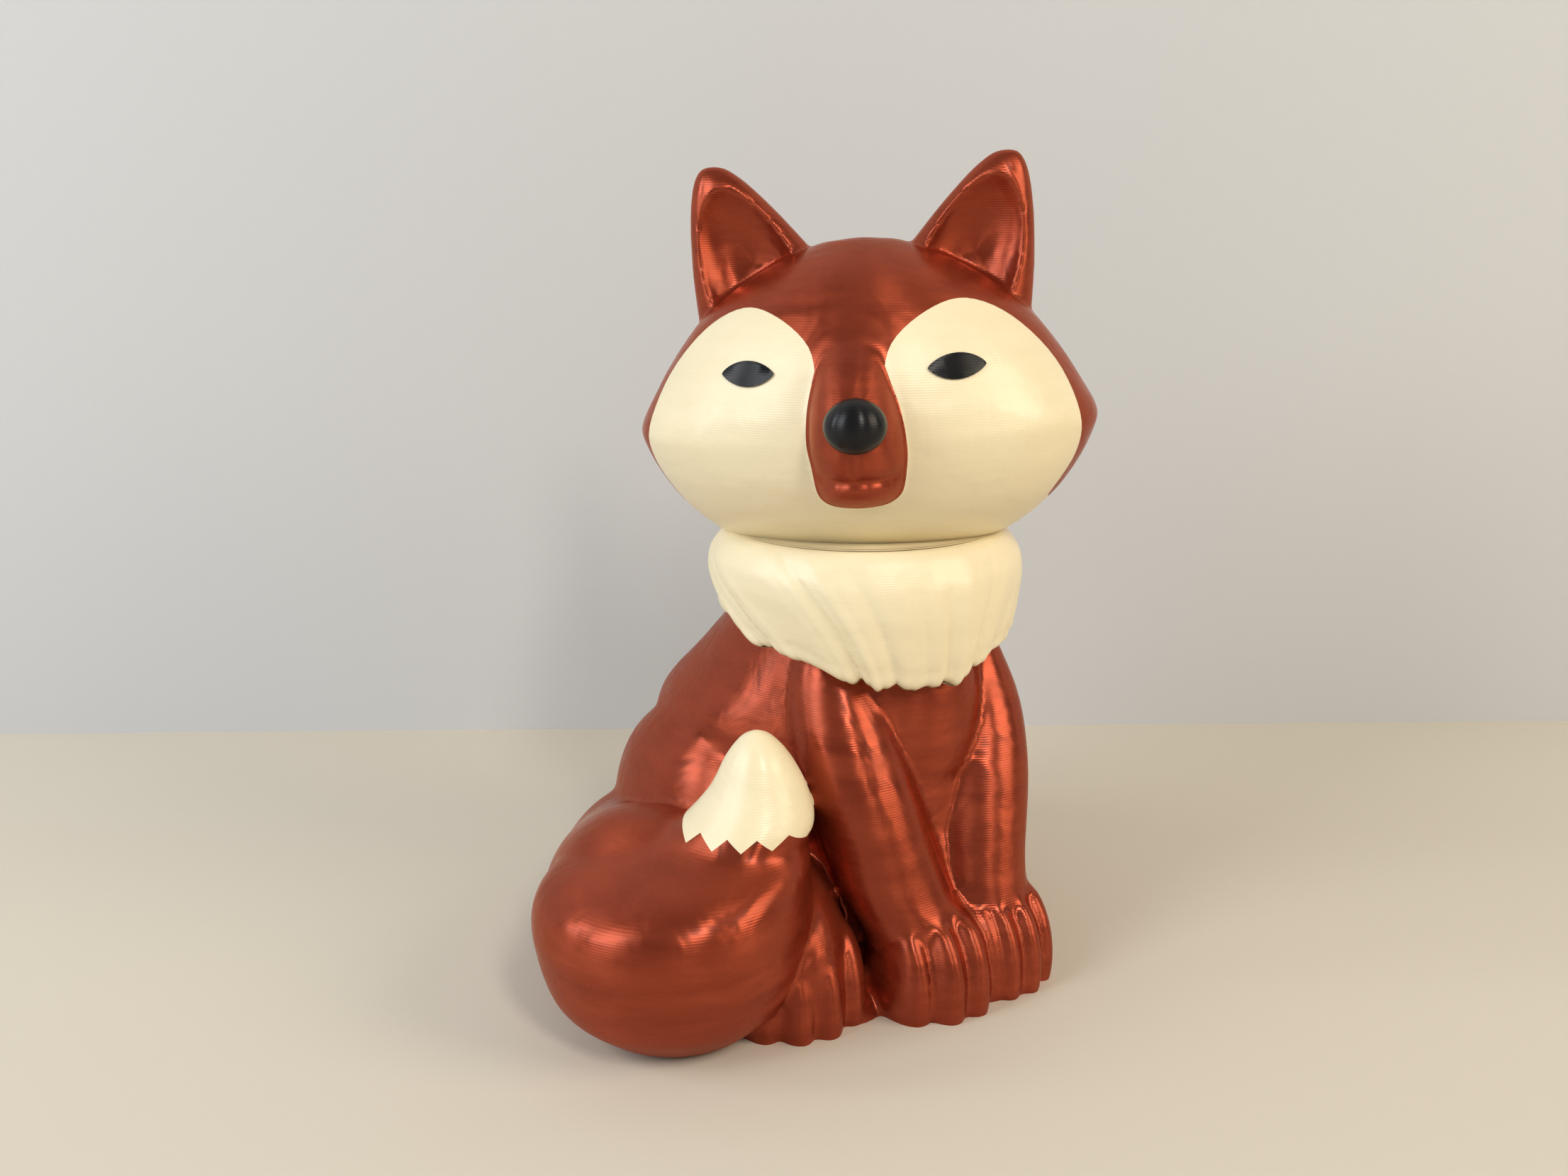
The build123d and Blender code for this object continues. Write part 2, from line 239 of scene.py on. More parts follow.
bodyShape = {
    "voxel": 0.5, "soften": 0.5, "softenTimes": 16, "toeSoftenTimes": 2, "cutThreshold": 1e-7,
    # rows of (x, y, z, width, depth)
    "torso": [(0, 13.3, -2, 45.8, 59.2), (0, 13.3, 0, 46.1, 59.6), (0, 13.7, 8.1, 49, 63.4),
              (0, 13.3, 20, 48, 62.1), (0, 12.3, 27, 46.5, 59.6), (0, 10.3, 34, 46.4, 53.3),
              (0, 6.6, 40.5, 39.2, 47.2), (0, 3.4, 48.1, 31.6, 37.6), (0, 1.2, 54, 27.9, 30.4)],
    "haunch": {"size": (22, 42, 39), "side": 19, "back": 13, "lift": 15},
    "rightLeg": [(-3.2, -21.5, -2, 15.5, 14), (-3.2, -21.5, 0, 15.5, 14),
                 (-4.6, -20, 9.2, 15, 13.5), (-7.0, -17.2, 16, 15, 13.8),
                 (-9.3, -13.6, 27, 14.8, 15), (-10.3, -10.0, 36, 14.4, 14.6),
                 (-10.2, -7.6, 44, 11, 11), (-9.6, -6.5, 51, 6, 6)],
    "leftLeg": [(6.6, -21, -2, 13.5, 14), (6.6, -21, 0, 13.5, 14), (6.6, -19.6, 9.2, 13.2, 13),
                (7.0, -17.4, 16, 13.4, 13.6), (9.9, -13.2, 27, 14.5, 15),
                (11.8, -9.6, 36, 13.2, 14.2), (12.2, -7.2, 44, 8.6, 10), (11.6, -6.4, 50, 4.5, 5)],
    "legAround": 48,
    # swellings: x, y, z, width, depth and height
    "breast": (0, -14.2, 11.5, 9, 11.5, 26),
    "chest": (1.0, -8.8, 36, 21, 19, 34),
    "flank": (-13.4, 10.5, 30.5, 20.5, 33, 21),
    "base": [(-26.5, 5, 0, 17, 30, 9), (-15, -14, 0, 13, 18, 8), (3, -21.5, 0, 8, 11, 5)],
    "toeCount": 4, "toeHeight": 13.0, "toeLength": 13.0, "toeOverlap": 1.6,
    # the pads and toes are balls that reach below the floor, where they are cut off
    "padWidth": 1.1, "ballHeight": 1.5, "ballLift": 0.25, "padBack": 0.25,
    "creaseHeight": 0.9,
    "rightFront": {"width": 16.0, "length": 18, "height": 10.5, "reach": 30.4, "side": -3.2},
    "leftFront": {"width": 14.0, "length": 18, "height": 10.5, "reach": 29.4, "side": 6.8},
    "hindPaw": {"width": 15.6, "length": 27, "height": 21, "turn": 10},
    "rightHind": {"side": 23, "reach": 24.5},
    "leftHind": {"side": 14.5, "reach": 9},
}

tailShape = {
    "rootSide": 4, "rootBack": 31, "reach": 36, "thickness": 30, "lift": 14,
    # shares: sideways, forwards, height and thickness
    "tube": [(0, 0, 0.60, 0.50), (0.55, 0.10, 0.64, 0.60), (0.86, 0.46, 0.74, 0.74),
             (0.98, 0.78, 0.90, 0.90), (0.95, 1.0, 0.86, 0.78)],
    "tubeSteps": 8,
    # the upright drop that the tail ends in; shares: height, lean and width
    "front": 9.3, "height": 39, "width": 35.4, "leanSide": 11.5, "leanFront": 3.5,
    "drop": [(-0.05, 0.06, 0.38), (0, 0.05, 0.50), (0.05, 0.03, 0.66), (0.16, 0, 0.88),
             (0.36, 0, 1), (0.47, 0.02, 0.99), (0.535, 0.10, 0.93), (0.585, 0.33, 0.80),
             (0.64, 0.68, 0.54), (0.70, 0.86, 0.48), (0.80, 0.97, 0.36), (0.91, 0.97, 0.24),
             (0.98, 0.96, 0.12), (1.0, 0.96, 0.04)],
    # the zigzag seam of the tip
    "seamHeight": 27, "seamHalf": 9.2, "seamTooth": 1.4, "seamPitch": 3.1, "seamTurn": -39,
    "seamLean": 0.9, "seamReach": 0.6, "seamGrow": 0.5,
}


def pawForms(name, paw, place):
    b = bodyShape
    pitch = paw["width"] / b["toeCount"]
    middle = (0, paw["length"] / 2 + b["padBack"] * pitch, b["ballLift"] * paw["height"])
    size = (b["padWidth"] * paw["width"], paw["length"], b["ballHeight"] * paw["height"])
    forms = [ballForm(name + "Pad", middle, size)]
    for index in range(b["toeCount"]):
        step = index - (b["toeCount"] - 1) / 2
        bow = pitch * step * step / b["toeCount"]
        middle = (pitch * step, b["toeLength"] / 2 + bow, b["ballLift"] * b["toeHeight"])
        size = (b["toeOverlap"] * pitch, b["toeLength"], b["ballHeight"] * b["toeHeight"])
        forms.append(ballForm(name + "Toe", middle, size))
    for form in forms:
        settle(form, place)
    return forms


def dropForm(name, grow=0.0):
    t = tailShape
    rows = []
    for up, lean, wide in t["drop"]:
        rows.append((-t["reach"] + t["leanSide"] * lean, -t["front"] - t["leanFront"] * lean,
                     t["height"] * up + grow * up, t["width"] * wide + 2 * grow,
                     t["width"] * wide + 2 * grow))
    return ovalForm(name, rows)


def tailForms():
    t = tailShape
    drop = dropForm("tailDrop")
    path = []
    for reach, way, lift, thick in t["tube"]:
        path.append((-(t["rootSide"] + (t["reach"] - t["rootSide"]) * reach),
                     t["rootBack"] + (-t["front"] - t["rootBack"]) * way, t["lift"] * lift,
                     t["thickness"] * thick / 2))
    rows = smoothRows(path, t["tubeSteps"])
    rings = []
    for index, (x, y, z, radius) in enumerate(rows):
        ahead = rows[min(index + 1, len(rows) - 1)]
        behind = rows[max(index - 1, 0)]
        along = Vector((ahead[0] - behind[0], ahead[1] - behind[1], ahead[2] - behind[2]))
        turn = along.to_track_quat("Z", "Y").to_matrix().to_4x4()
        rings.append((Vector((x, y, z)) * mm, turn, radius * mm, radius * mm))
    return [drop, ringForm("tailTube", rings)]


def bodyMaster():
    b = bodyShape
    forms = [ovalForm("torso", b["torso"])]
    for side in (-1, 1):
        h = b["haunch"]
        forms.append(ballForm("haunch", (side * h["side"], h["back"], h["lift"]), h["size"]))
    for name in ("rightLeg", "leftLeg"):
        forms.append(ovalForm(name, b[name], around=b["legAround"]))
    for name in ("rightFront", "leftFront"):
        paw = b[name]
        place = Matrix.Translation(Vector((paw["side"], -paw["reach"], 0)) * mm)
        forms += pawForms(name, paw, place)
    for side, spot in ((-1, b["rightHind"]), (1, b["leftHind"])):
        place = Matrix.Translation(Vector((side * spot["side"], -spot["reach"], 0)) * mm)
        place = place @ Matrix.Rotation(math.radians(side * b["hindPaw"]["turn"]), 4, "Z")
        forms += pawForms("hindPaw", b["hindPaw"], place)
    for name in ("breast", "chest", "flank"):
        x, y, z, wide, deep, tall = b[name]
        forms.append(ballForm(name, (x, y, z), (wide, deep, tall)))
    # between the paws and under the tail the underside is closed
    for x, y, z, wide, deep, tall in b["base"]:
        forms.append(ballForm("base", (x, y, z), (wide, deep, tall)))
    forms += tailForms()
    body = joinForms(forms, "foxBody")
    voxelForm(body, b["voxel"] * mm)
    soften(body, b["soften"], b["toeSoftenTimes"])
    # the creases above the toes are rounder
    upper = body.vertex_groups.new(name="upper")
    crease = b["creaseHeight"] * b["toeHeight"] * mm
    upper.add([vertex.index for vertex in body.data.vertices if vertex.co.z > crease], 1, "ADD")
    soften(body, b["soften"], b["softenTimes"], "upper")
    body.vertex_groups.clear()
    # the flat underside
    pick(body)
    bpy.ops.object.mode_set(mode="EDIT")
    bpy.ops.mesh.select_all(action="SELECT")
    bpy.ops.mesh.bisect(plane_co=(0, 0, 0), plane_no=(0, 0, 1), use_fill=True, clear_inner=True,
                        threshold=b["cutThreshold"])
    bpy.ops.object.mode_set(mode="OBJECT")
    return body


def seamCutter():
    t = tailShape
    half = t["seamHalf"]
    teeth = int(2 * half / t["seamPitch"])
    points = [(-half, t["height"])]
    for index in range(-teeth, teeth + 1):
        rise = t["seamTooth"] / 2 if index % 2 else -t["seamTooth"] / 2
        points.append((index * half / teeth, rise))
    points.append((half, t["height"]))
    reach = t["width"] * t["seamReach"]
    cutter = prismForm("seamCutter", points, -reach, reach)
    lean = t["seamLean"]
    spot = Vector((-t["reach"] + t["leanSide"] * lean, -t["front"] - t["leanFront"] * lean,
                   t["seamHeight"]))
    place = Matrix.Translation(spot * mm) @ Matrix.Rotation(math.radians(t["seamTurn"]), 4, "Z")
    settle(cutter, place)
    around = dropForm("tailAround", t["seamGrow"])
    combine(cutter, around, "INTERSECT")
    scrap(around)
    return cutter


# the head, with its ears, muzzle and face

headShape = {
    "voxel": 0.34, "soften": 0.5, "softenTimes": 9,
    "width": 61.8, "height": 41.9, "depth": 46, "bottom": 57.3, "turn": -39, "tilt": -2.5,
    # shares of the width and of the height
    "skull": [(0.04, 0.0), (0.16, 0.002), (0.34, 0.012), (0.61, 0.068), (0.80, 0.175),
              (0.92, 0.290), (0.99, 0.400), (0.99, 0.450), (0.94, 0.520), (0.83, 0.650),
              (0.67, 0.790), (0.44, 0.905), (0.20, 0.982), (0.08, 0.996), (0.02, 1.0)],
    # the front and back are rounder than the cheeks, roundest at a share of the height
    "round": {"blend": 0.95, "middle": 0.425, "least": 0.04},
    # height, sideways, front, width and depth
    "muzzle": [(9.3, 0.4, -19.8, 6.6, 9.0), (10.1, 0.5, -23.4, 8.8, 12.6),
               (11.7, 0.7, -26.6, 10.6, 15.6), (15.0, 0.8, -28.4, 11.6, 17.0),
               (17.9, 0.6, -29.4, 12.0, 18.0), (21.5, 0.4, -29.1, 11.2, 18.0),
               (25.7, 0.1, -25.5, 9.8, 16.2), (29.8, 0, -20.4, 9.8, 13.7),
               (33.5, 0, -14.6, 10.8, 10.4), (36.6, 0, -9.2, 10.6, 7.2)],
    "muzzleSide": 0.6, "muzzleGap": 0.3,
    "flare": {"low": 26, "front": -8, "half": 11, "fade": 3, "soften": 0.8, "times": 40},
    "mouth": {"lift": 13.7, "tall": 0.7, "deep": 0.8, "reach": -22.5, "fade": 2,
              "inward": 0.9, "together": 0.06},
    "groove": {"wide": 0.8, "low": 13.7, "high": 18.0, "deep": 0.7, "above": 2},
    "maskThickness": 3.0, "maskBack": 1.5, "maskWidth": 56, "maskBottom": 11.6, "maskHeight": 22.4,
    "maskLow": -6, "maskSteps": 5,
    # shares of the face's half width and of its height
    "mask": [(0.080, 0.00), (0.100, 0.25), (0.140, 0.56), (0.180, 0.79), (0.330, 0.95),
             (0.500, 1.00), (0.700, 0.885), (0.895, 0.63), (1.000, 0.33), (0.985, 0.095),
             (0.860, -0.16)],
}

earShape = {
    "height": 25, "bottom": 27, "width": 26, "depth": 12.5, "side": 9, "back": 1, "lean": 10.4,
    # shares: height, width and depth
    "rows": [(0, 1, 1), (0.20, 0.87, 0.92), (0.40, 0.74, 0.82), (0.57, 0.61, 0.70),
             (0.71, 0.49, 0.60), (0.83, 0.37, 0.50), (0.92, 0.26, 0.38), (0.98, 0.15, 0.22),
             (1.0, 0.06, 0.10)],
    "dish": (15.0, -6.0, 39.2), "dishSize": (14.5, 14.5, 25.5), "dishLean": 22.5,
}


def headPlace():
    h = headShape
    middle = h["height"] / 2 * mm
    return (Matrix.Rotation(math.radians(h["turn"]), 4, "Z")
            @ Matrix.Translation((0, 0, h["bottom"] * mm + middle))
            @ Matrix.Rotation(math.radians(h["tilt"]), 4, "Y")
            @ Matrix.Translation((0, 0, -middle)))


def skullForm(name, grow=0.0):
    h = headShape
    middle = h["height"] / 2
    most = h["round"]["middle"]
    rows = []
    for out, up in h["skull"]:
        ball = math.sqrt(max(0.0, 1 - ((up - most) / (1 - most if up > most else most)) ** 2))
        face = out + (max(ball, h["round"]["least"]) - out) * h["round"]["blend"]
        rows.append((0, 0, middle + (middle + grow) * (2 * up - 1),
                     (h["width"] + 2 * grow) * out, (h["depth"] + 2 * grow) * face))
    return ovalForm(name, rows, steps=4, around=96)


def muzzleForm(name, grow=0.0):
    rows = [(aside, front + deep / 2, up, wide + 2 * grow, deep + 2 * grow)
            for up, aside, front, wide, deep in headShape["muzzle"]]
    return ovalForm(name, rows)


def earForm(side):
    e = earShape
    rows = [(side * (e["side"] + e["lean"] * up), e["back"], e["bottom"] + e["height"] * up,
             e["width"] * wide, e["depth"] * deep) for up, wide, deep in e["rows"]]
    ear = ovalForm("ear", rows, steps=4)
    # a soft dish in front
    x, y, z = e["dish"]
    dish = ballForm("dish", (side * x, y, z), e["dishSize"],
                    Matrix.Rotation(math.radians(side * e["dishLean"]), 4, "Y"))
    combine(ear, dish, "DIFFERENCE")
    scrap(dish)
    return ear


def maskPrism():
    h = headShape
    side = [(h["maskWidth"] / 2 * out, h["maskBottom"] + h["maskHeight"] * up)
            for out, up in smoothRows(h["mask"], h["maskSteps"])]
    low = h["maskLow"]
    points = [(0, h["maskBottom"])] + side + [(side[-1][0], low), (-side[-1][0], low)]
    points += [(-x, z) for x, z in reversed(side)]
    return prismForm("maskPrism", points, -h["maskBack"], -h["depth"])


def headMaster():
    h = headShape
    forms = [skullForm("skull"), muzzleForm("muzzle"), earForm(-1), earForm(1)]
    head = joinForms(forms, "foxHead")
    voxelForm(head, h["voxel"] * mm)
    soften(head, h["soften"], h["softenTimes"])
    # the bridge flares into the forehead
    flare = h["flare"]
    group = head.vertex_groups.new(name="flare")
    for vertex in head.data.vertices:
        x, y, z = vertex.co / mm
        if y < flare["front"] and z > flare["low"] and abs(x) < flare["half"]:
            share = (min(1.0, (z - flare["low"]) / flare["fade"])
                     * min(1.0, (flare["half"] - abs(x)) / flare["fade"]))
            group.add([vertex.index], share, "REPLACE")
    soften(head, flare["soften"], flare["times"], "flare")
    head.vertex_groups.clear()
    # the mouth, a crease round the end of the muzzle, and the groove from it up to the nose
    mouth = h["mouth"]
    groove = h["groove"]
    for vertex in head.data.vertices:
        x, y, z = vertex.co / mm
        if y > mouth["reach"] or z > groove["high"] + groove["above"]:
            continue
        away = (z - mouth["lift"]) / mouth["tall"]
        aside = x - h["muzzleSide"]
        inward = mouth["deep"] * math.exp(-away * away)
        if z > groove["low"]:
            across = aside / groove["wide"]
            inward = max(inward, groove["deep"] * math.exp(-across * across))
        inward *= min(1.0, (mouth["reach"] - y) / mouth["fade"])
        vertex.co += Vector((-aside * mouth["together"], mouth["inward"], 0)) * inward * mm
    return head


# the ruff

ruffShape = {
    "diameter": 43, "height": 17, "bottom": 43.6,
    # shares of the diameter and of the height
    "rows": [(0.60, 0.0), (0.90, 0.0), (0.96, 0.15), (0.99, 0.40), (1.0, 0.60), (0.97, 0.80),
             (0.86, 1.0), (0.6, 1.0)],
    "steps": 9, "around": 360,
    # the lower edge: degrees to the fox's left of the front, and the climb above the bottom
    "edge": [(-181, 8), (-121, 7), (-87, 4.7), (-63, 3.0), (-41, 0.5), (-15, -1.0), (3, -0.6),
             (15, 0.8), (40, 3.2), (59, 5.2), (71, 6.6), (95, 8.3), (121, 8.8), (181, 8)],
    "tuftDepth": 1.5, "tuftMiddle": 0.45,
    "folds": 15, "foldDepth": 0.9, "foldMiddle": 0.6, "foldLean": 1.1, "foldFade": 0.3,
    # fine strands lie on the folds; how much, how many per fold and where they start
    "strand": 0.22, "strandCount": 2.7, "strandStart": 1,
    # slow waves round the ruff: height, count and start; they move the folds and vary their size
    "wander": [(0.5, 3, 1), (0.35, 7, 2)],
    "size": 0.6, "sizeWave": (0.4, 5, 0.7),
}


# the lower edge climbs to the nape and hangs in tufts, and the folds fan out from the chest
def ruffForm():
    r = ruffShape
    rows = [(0, 0, r["bottom"] + r["height"] * up, r["diameter"] * out, r["diameter"] * out)
            for out, up in r["rows"]]
    ruff = ovalForm("foxRuff", rows, r["steps"], r["around"])
    top = r["bottom"] + r["height"]
    turns, rises = zip(*r["edge"])
    sway, count, start = r["sizeWave"]
    for vertex in ruff.data.vertices:
        x, y, z = vertex.co / mm
        angle = math.atan2(x, -y)
        share = (z - r["bottom"]) / (top - r["bottom"])
        gather = angle * (1 + r["foldLean"] * (1 - share) * math.cos(angle / 2) ** 2)
        wander = sum(high * math.sin(often * gather + first) for high, often, first in r["wander"])
        wave = gather * r["folds"] / 2 + wander
        strand = abs(math.sin(r["strandCount"] * wave + r["strandStart"]))
        fold = (1 - r["strand"]) * abs(math.sin(wave)) + r["strand"] * strand
        size = r["size"] + sway * math.sin(count * gather + start)
        edge = r["bottom"] + float(np.interp(math.degrees(angle), turns, rises))
        edge -= r["tuftDepth"] * size * (fold - r["tuftMiddle"])
        fade = max(0.0, 1 - share) ** r["foldFade"]
        push = 1 + r["foldDepth"] * size * (fold - r["foldMiddle"]) * fade / (r["diameter"] / 2)
        vertex.co.x *= push
        vertex.co.y *= push
        vertex.co.z = (edge + (top - edge) * share) * mm
    return ruff


# the eyes and the nose

eyeShape = {
    "width": 7.0, "height": 3.1, "side": 12.9, "lift": 26.3, "proud": 0.25, "deep": 2.5,
    "corners": 32, "pointed": 0.55, "front": -30, "back": -8,
    "rim": 0.22, "rimSteps": 3, "rimAngle": 50,
}

noseShape = {"side": 1.1, "width": 7.6, "height": 6.6, "depth": 7, "reach": 32, "lift": 20.6}


def eyeForm(side):
    e = eyeShape
    half = e["width"] / 2
    rise = e["height"] / 2
    points = []
    for index in range(e["corners"]):
        angle = 2 * math.pi * index / e["corners"]
        up = math.sin(angle)
        points.append((half * math.cos(angle), rise * up * abs(up) ** e["pointed"]))
    eye = prismForm("foxEye", points, e["front"], e["back"])
    settle(eye, Matrix.Translation(Vector((side * e["side"], 0, e["lift"])) * mm))
    outer = skullForm("eyeFront", e["proud"])
    inner = skullForm("eyeBack", -e["deep"])
    combine(eye, outer, "INTERSECT")
    combine(eye, inner, "DIFFERENCE")
    scrap(outer)
    scrap(inner)
    useModifier(eye, "BEVEL", width=e["rim"] * mm, segments=e["rimSteps"],
                limit_method="ANGLE", angle_limit=math.radians(e["rimAngle"]))
    eye.name = "foxEyeRight" if side < 0 else "foxEyeLeft"
    return settle(eye, headPlace())


def noseForm():
    n = noseShape
    middle = (n["side"], -n["reach"] + n["depth"] / 2, n["lift"])
    nose = ballForm("foxNose", middle, (n["width"], n["depth"], n["height"]))
    return settle(nose, headPlace())


# materials

rustLook = {
    "Base Color": (0.36, 0.06, 0.025, 1), "Roughness": 0.36, "Metallic": 0.65,
    "Anisotropic": 0.8, "Anisotropic Rotation": 0.25, "Specular Tint": (1, 0.55, 0.4, 1),
    "Coat Weight": 0.12, "Coat Roughness": 0.25,
}
creamLook = {"Base Color": (0.80, 0.70, 0.46, 1), "Roughness": 0.34}
blackLook = {
    "Base Color": (0.006, 0.006, 0.007, 1), "Roughness": 0.32, "Specular IOR Level": 0.25,
    "Anisotropic": 0.8, "Anisotropic Rotation": 0.25,
}
# the layer lines of the print, pitch and depth in millimetres, and the patches under them
lineLook = {
    "pitch": 0.3, "depth": 0.02, "wave": {"Distortion": 0.6, "Detail Scale": 0.1},
    "patch": {"Scale": 140, "Detail": 2, "Roughness": 0.6, "Distortion": 0.6},
    "patchStrength": 0.7,
}
# the drift of colour and gloss
driftLook = {
    "squeeze": (60, 60, 260), "noise": {"Scale": 1.6, "Detail": 3},
    "range": {"From Min": 0.3, "From Max": 0.7},
}


def setInputs(node, values):
    for socket, value in values.items():
        node.inputs[socket].default_value = value


def newMaterial(name, look):
    material = bpy.data.materials.new(name)
    material.use_nodes = True
    shader = material.node_tree.nodes["Principled BSDF"]
    setInputs(shader, look)
    return material, shader


def printLines(material, shader, strength, patch=0.0):
    nodes = material.node_tree.nodes
    links = material.node_tree.links
    spot = nodes.new("ShaderNodeTexCoord")
    wave = nodes.new("ShaderNodeTexWave")
    wave.wave_type = "BANDS"
    wave.bands_direction = "Z"
    setInputs(wave, lineLook["wave"])
    # at scale 1 the bands of this texture lie 2 pi / 20 apart
    wave.inputs["Scale"].default_value = 2 * math.pi / 20 / (lineLook["pitch"] * mm)
    bump = nodes.new("ShaderNodeBump")
    setInputs(bump, {"Distance": lineLook["depth"] * mm, "Strength": strength})
    links.new(spot.outputs["Object"], wave.inputs["Vector"])
    links.new(wave.outputs["Fac"], bump.inputs["Height"])
    links.new(bump.outputs["Normal"], shader.inputs["Normal"])
    if patch:
        # the sheen breaks into soft patches
        swell = nodes.new("ShaderNodeTexNoise")
        setInputs(swell, lineLook["patch"])
        under = nodes.new("ShaderNodeBump")
        setInputs(under, {"Distance": patch * mm, "Strength": lineLook["patchStrength"]})
        links.new(spot.outputs["Object"], swell.inputs["Vector"])
        links.new(swell.outputs["Fac"], under.inputs["Height"])
        links.new(under.outputs["Normal"], bump.inputs["Normal"])


# colour and gloss drift a little over the surface, in bands that lie level as the print does
def mottle(material, shader, dark, light, gloss, dull):
    nodes = material.node_tree.nodes
    links = material.node_tree.links
    spot = nodes.new("ShaderNodeTexCoord")
    squeeze = nodes.new("ShaderNodeMapping")
    setInputs(squeeze, {"Scale": driftLook["squeeze"]})
    drift = nodes.new("ShaderNodeTexNoise")
    setInputs(drift, driftLook["noise"])
    tint = nodes.new("ShaderNodeMix")
    tint.data_type = "RGBA"
    setInputs(tint, {"A": (*dark, 1), "B": (*light, 1)})
    shine = nodes.new("ShaderNodeMapRange")
    setInputs(shine, {**driftLook["range"], "To Min": gloss, "To Max": dull})
    links.new(spot.outputs["Object"], squeeze.inputs["Vector"])
    links.new(squeeze.outputs["Vector"], drift.inputs["Vector"])
    links.new(drift.outputs["Fac"], tint.inputs["Factor"])
    links.new(tint.outputs["Result"], shader.inputs["Base Color"])
    links.new(drift.outputs["Fac"], shine.inputs["Value"])
    links.new(shine.outputs["Result"], shader.inputs["Roughness"])


rustPlastic, rustShader = newMaterial("rustPlastic", rustLook)
printLines(rustPlastic, rustShader, strength=0.35, patch=0.45)
mottle(rustPlastic, rustShader, dark=(0.20, 0.025, 0.010), light=(0.38, 0.066, 0.027),
       gloss=0.24, dull=0.44)
creamPlastic, creamShader = newMaterial("creamPlastic", creamLook)
printLines(creamPlastic, creamShader, strength=0.3, patch=0.3)
mottle(creamPlastic, creamShader, dark=(0.78, 0.68, 0.45), light=(0.83, 0.73, 0.50),
       gloss=0.28, dull=0.42)
blackPlastic, blackShader = newMaterial("blackPlastic", blackLook)
printLines(blackPlastic, blackShader, strength=0.3)

sharpAngle = math.radians(40)


def finishPiece(piece, material, slot, *replaced):
    cleanMesh(piece)
    piece.data.materials.clear()
    piece.data.materials.append(material)
    for face in piece.data.polygons:
        face.material_index = 0
    pick(piece)
    bpy.ops.object.shade_smooth_by_angle(angle=sharpAngle)
    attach(piece, "root")
    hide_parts(*replaced)


# the pieces are put together

body = bodyMaster()
print("fox: body formed", len(body.data.polygons))
tailTip = copyOf(body, "foxTailTip")
cutter = seamCutter()
combine(body, cutter, "DIFFERENCE")
combine(tailTip, cutter, "INTERSECT")
scrap(cutter)
print("fox: tail tip parted")

head = headMaster()
print("fox: head formed", len(head.data.polygons))
prism = maskPrism()
muzzle = muzzleForm("muzzleCutter", headShape["muzzleGap"])
combine(prism, muzzle, "DIFFERENCE")
scrap(muzzle)
core = skullForm("skullCore", -headShape["maskThickness"])
combine(prism, core, "DIFFERENCE")
scrap(core)
mask = copyOf(head, "foxFace")
combine(mask, prism, "INTERSECT")
combine(head, prism, "DIFFERENCE")
scrap(prism)
for piece in (head, mask):
    settle(piece, headPlace())
print("fox: face let in")

nose = noseForm()
ruff = ruffForm()
print("fox: ruff formed")

finishPiece(body, rustPlastic, "rust_plastic", "body")
finishPiece(tailTip, creamPlastic, "cream_plastic", "tail_tip")
finishPiece(head, rustPlastic, "rust_plastic", "head")
finishPiece(mask, creamPlastic, "cream_plastic", "face_mask")
finishPiece(ruff, creamPlastic, "cream_plastic", "ruff")
finishPiece(nose, blackPlastic, "black_plastic", "nose")
finishPiece(eyeForm(-1), blackPlastic, "black_plastic", "eye_right")
finishPiece(eyeForm(1), blackPlastic, "black_plastic", "eye_left")
print("fox: pieces finished")

# floor, backdrop, light and camera

stageShape = {"floorSize": 3.0, "backdropSize": 3.0, "backdropBehind": 0.088}
cameraShape = {
    "place": (-0.1118, -0.1636, 0.1007), "forward": (0.501, 0.831, -0.241),
    "right": (0.855, -0.518, -0.008), "lens": 33.45, "sensor": 36, "nearest": 0.005,
}
floorLook = {"Base Color": (0.61, 0.56, 0.47, 1), "Roughness": 0.75}
backLook = {"Base Color": (0.54, 0.55, 0.56, 1), "Roughness": 0.9}
roomLook = {"Color": (0.85, 0.87, 0.9, 1), "Strength": 0.27}
# place, target and size in metres, power in watts and colour
lampShapes = {
    "windowLight": ((-0.58, -0.04, 0.36), (0, 0, 0.05), (0.25, 0.40), 2.0, (0.93, 0.97, 1)),
    "backWindow": ((-0.46, 0.20, 0.28), (0, 0, 0.03), (0.10, 0.30), 0.7, (0.95, 0.97, 1)),
    "frontLight": ((-0.10, -0.50, 0.48), (0, 0, 0.05), (0.08, 0.20), 1.5, (1, 0.94, 0.85)),
    "rightFill": ((0.30, -0.46, 0.34), (0, 0, 0.05), (0.30, 0.30), 1.9, (1, 0.86, 0.66)),
}

clearSelection()
bpy.ops.mesh.primitive_plane_add(size=stageShape["floorSize"])
floor = bpy.context.object
floor.name = "floor"
floorPaint = newMaterial("floorPaint", floorLook)[0]
floor.data.materials.append(floorPaint)

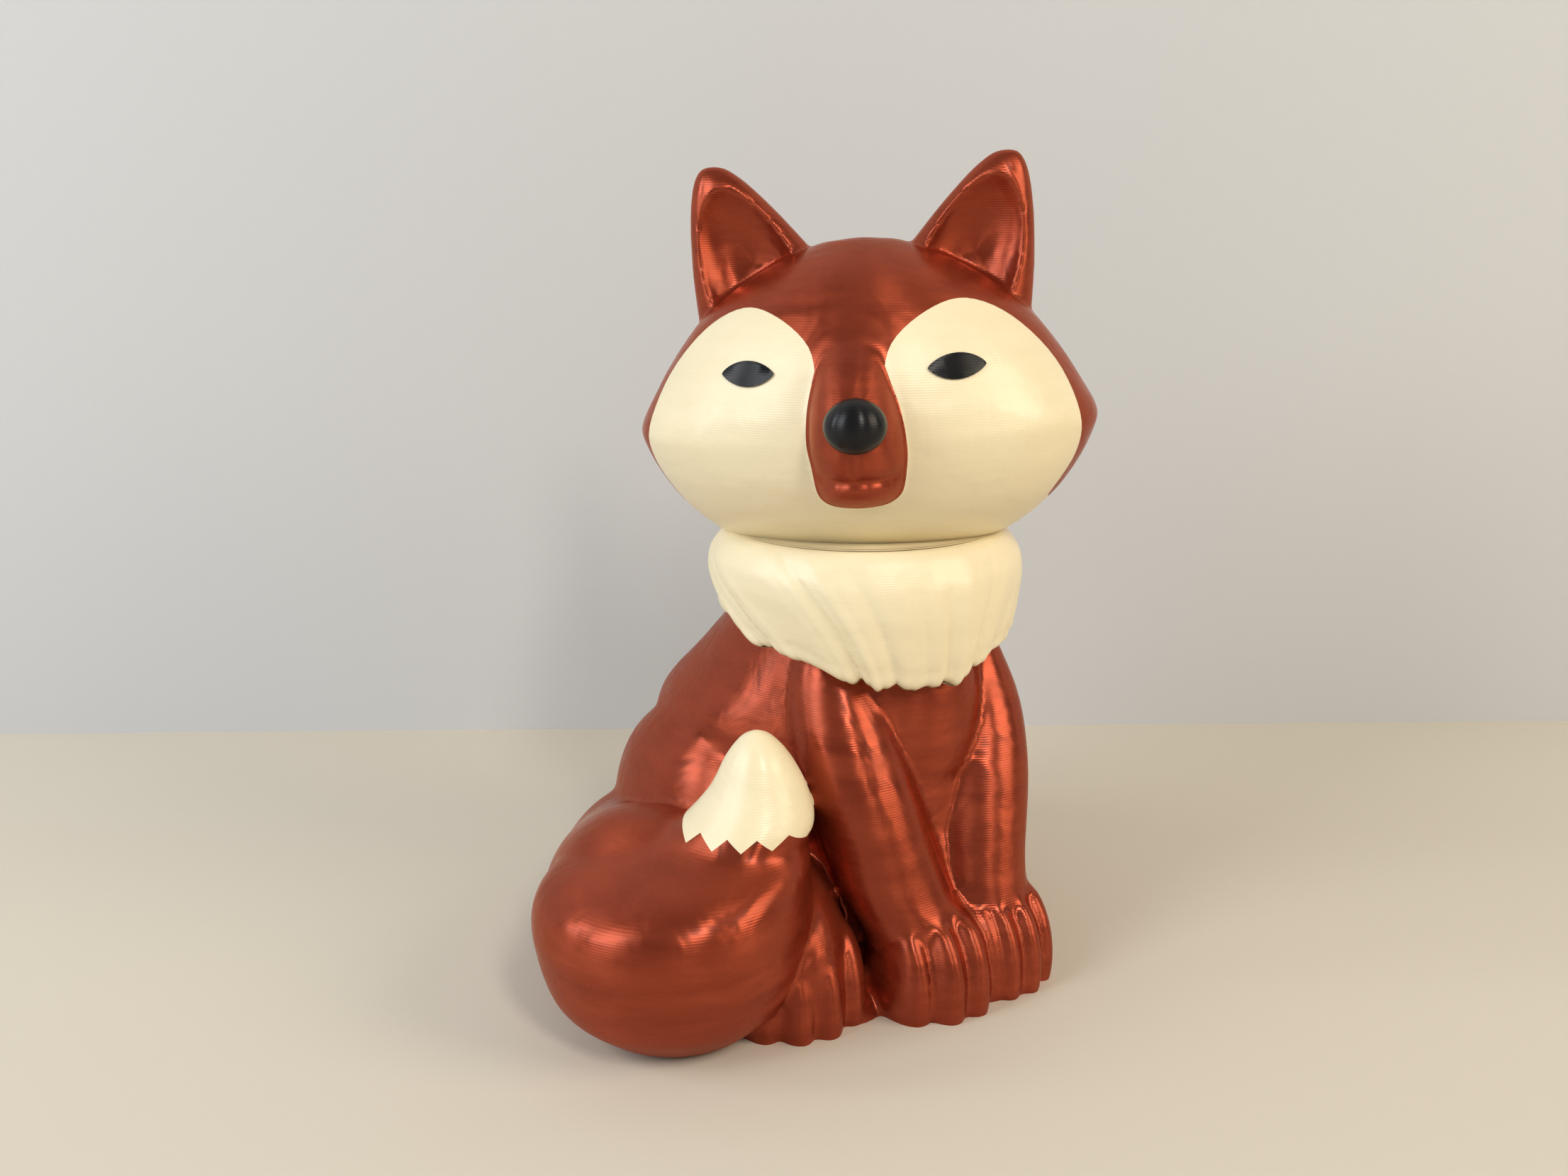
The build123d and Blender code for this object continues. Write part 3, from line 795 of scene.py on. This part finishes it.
forward = Vector(cameraShape["forward"]).normalized()
right = Vector(cameraShape["right"]).normalized()
up = right.cross(forward).normalized()
clearSelection()
bpy.ops.mesh.primitive_plane_add(size=stageShape["backdropSize"])
backdrop = bpy.context.object
backdrop.name = "backdrop"
flat = Vector((forward.x, forward.y, 0)).normalized()
backdrop.matrix_world = (Matrix.Translation(flat * stageShape["backdropBehind"])
                         @ (-flat).to_track_quat("Z", "Y").to_matrix().to_4x4())
backPaint, backShader = newMaterial("backPaint", backLook)
# seen from behind, the backdrop is clear
backNodes = backPaint.node_tree.nodes
backLinks = backPaint.node_tree.links
sideSeen = backNodes.new("ShaderNodeNewGeometry")
clear = backNodes.new("ShaderNodeBsdfTransparent")
blend = backNodes.new("ShaderNodeMixShader")
backLinks.new(sideSeen.outputs["Backfacing"], blend.inputs[0])
backLinks.new(backShader.outputs["BSDF"], blend.inputs[1])
backLinks.new(clear.outputs["BSDF"], blend.inputs[2])
backLinks.new(blend.outputs["Shader"], backNodes["Material Output"].inputs["Surface"])
backdrop.data.materials.append(backPaint)

scene = bpy.context.scene
cameraData = bpy.data.cameras.new("photoCamera")
cameraData.lens = cameraShape["lens"]
cameraData.sensor_width = cameraShape["sensor"]
cameraData.clip_start = cameraShape["nearest"]
camera = bpy.data.objects.new("photoCamera", cameraData)
scene.collection.objects.link(camera)
spin = Matrix((right, up, -forward)).transposed().to_4x4()
camera.matrix_world = Matrix.Translation(cameraShape["place"]) @ spin
scene.camera = camera


def areaLight(name, spot, target, size, power, colour):
    data = bpy.data.lights.new(name, "AREA")
    data.shape = "RECTANGLE"
    data.size, data.size_y = size
    data.energy = power
    data.color = colour
    lamp = bpy.data.objects.new(name, data)
    scene.collection.objects.link(lamp)
    aim = Vector(spot) - Vector(target)
    lamp.matrix_world = Matrix.Translation(spot) @ aim.to_track_quat("Z", "Y").to_matrix().to_4x4()


for name, values in lampShapes.items():
    areaLight(name, *values)
world = bpy.data.worlds.new("room")
world.use_nodes = True
setInputs(world.node_tree.nodes["Background"], roomLook)
scene.world = world
scene.view_settings.view_transform = "Standard"
print("fox: stage set")
